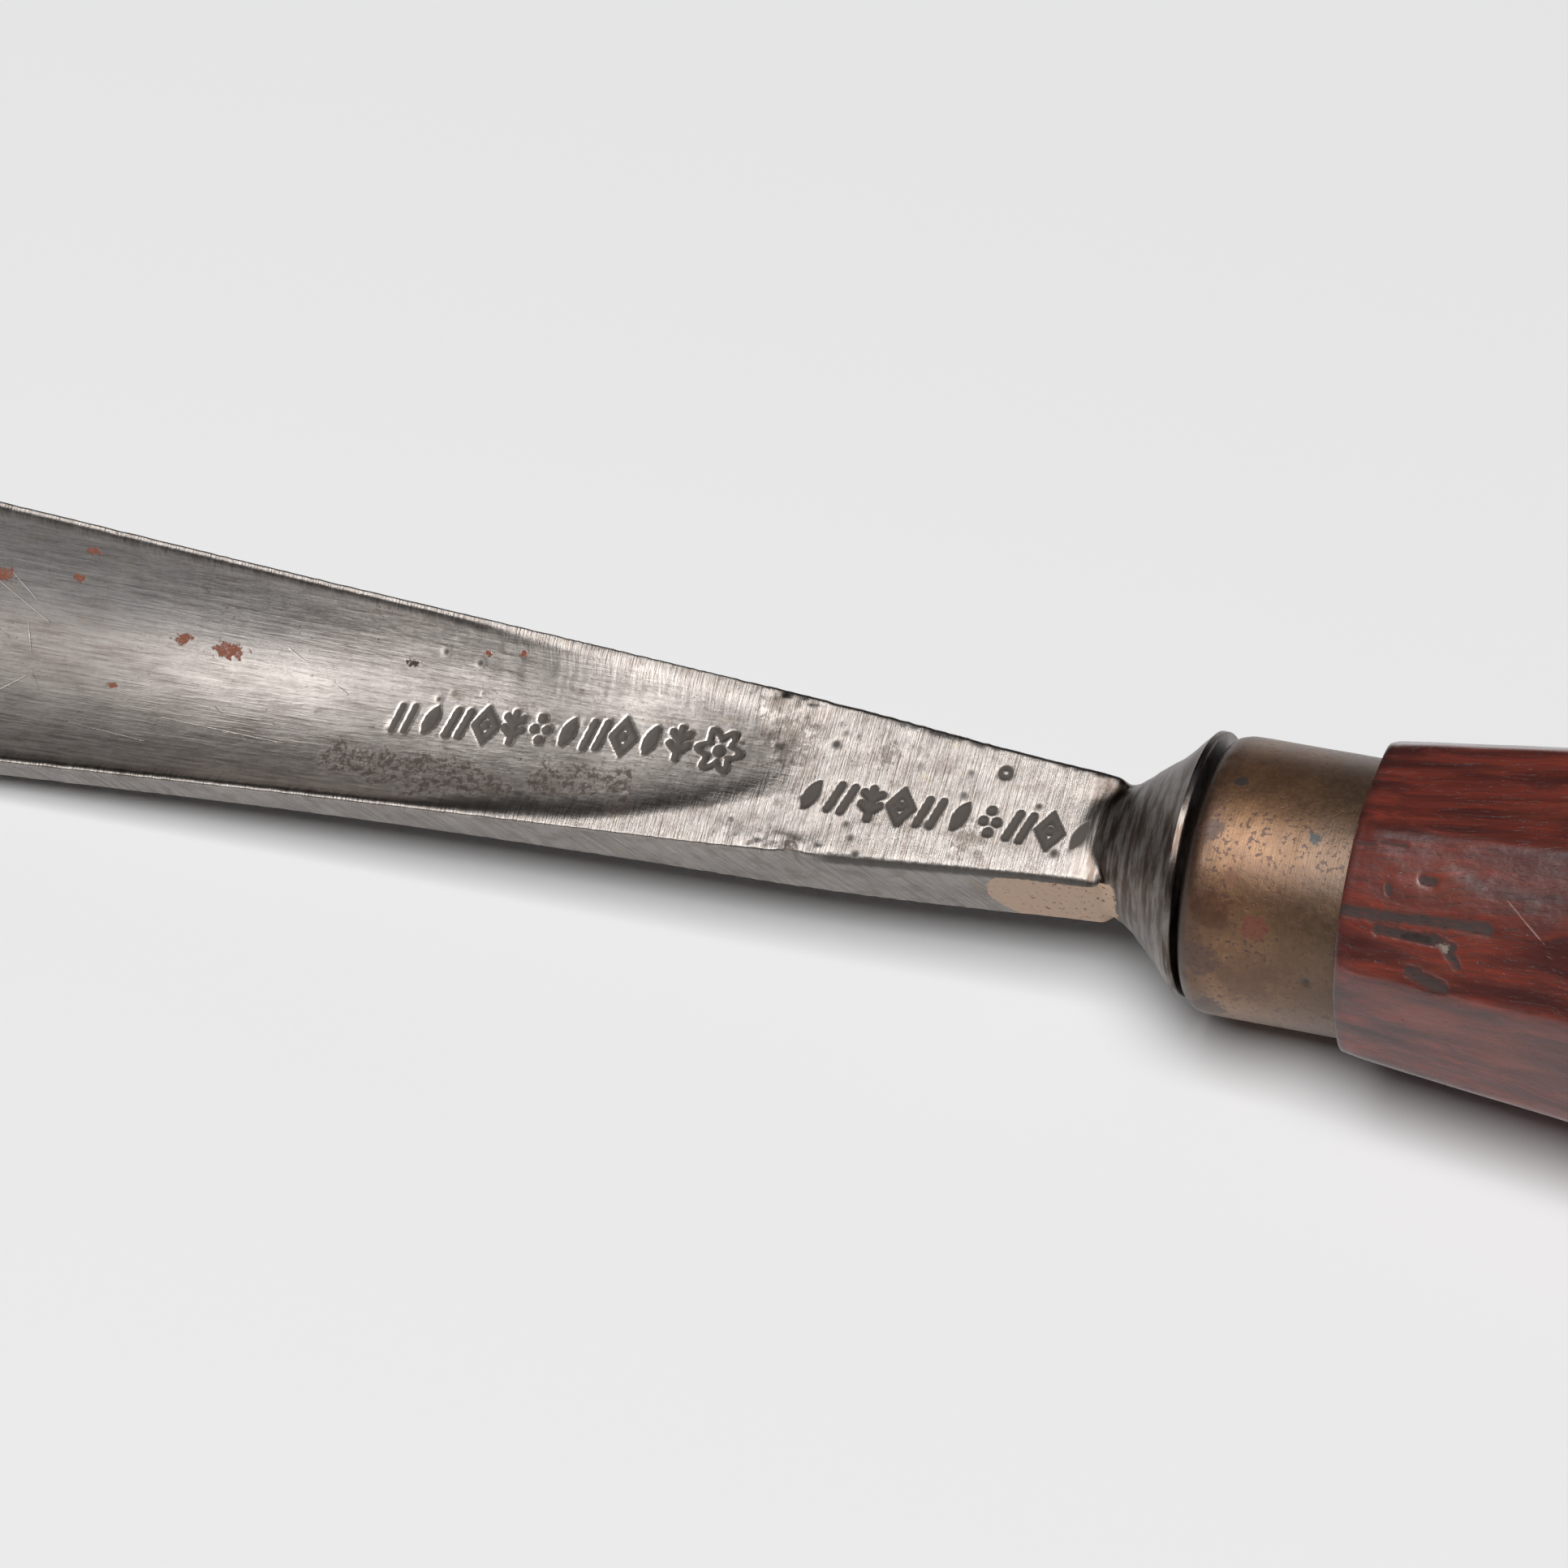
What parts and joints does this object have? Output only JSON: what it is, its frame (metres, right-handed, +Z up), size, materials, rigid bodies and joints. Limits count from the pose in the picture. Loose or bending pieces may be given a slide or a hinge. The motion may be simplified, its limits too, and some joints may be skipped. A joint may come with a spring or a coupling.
{
  "type": "carving gouge",
  "caption": "Woodcarver's gouge: straight hollow-ground steel blade tapering to a flat shank and a flared bolster, brass ferrule and octagonal hardwood handle.",
  "frame": {"origin": "on the surface that the tool lies on, below the middle of its bounding box", "axes": "+X along the tool from the cutting edge to the butt of the handle, +Z up, hollow of the blade facing up and towards -Y"},
  "size_m": [0.2244, 0.028, 0.031],
  "materials": {
    "steel": "worn satin with file marks, fine rust specks and dark oxide",
    "brass": "dull brown patina",
    "rosewood": "polished by use, dents and scratches"
  },
  "bodies": {
    "root": {"gouge_blade": "steel", "ferrule": "brass", "handle": "rosewood"}
  },
  "joints": []
}
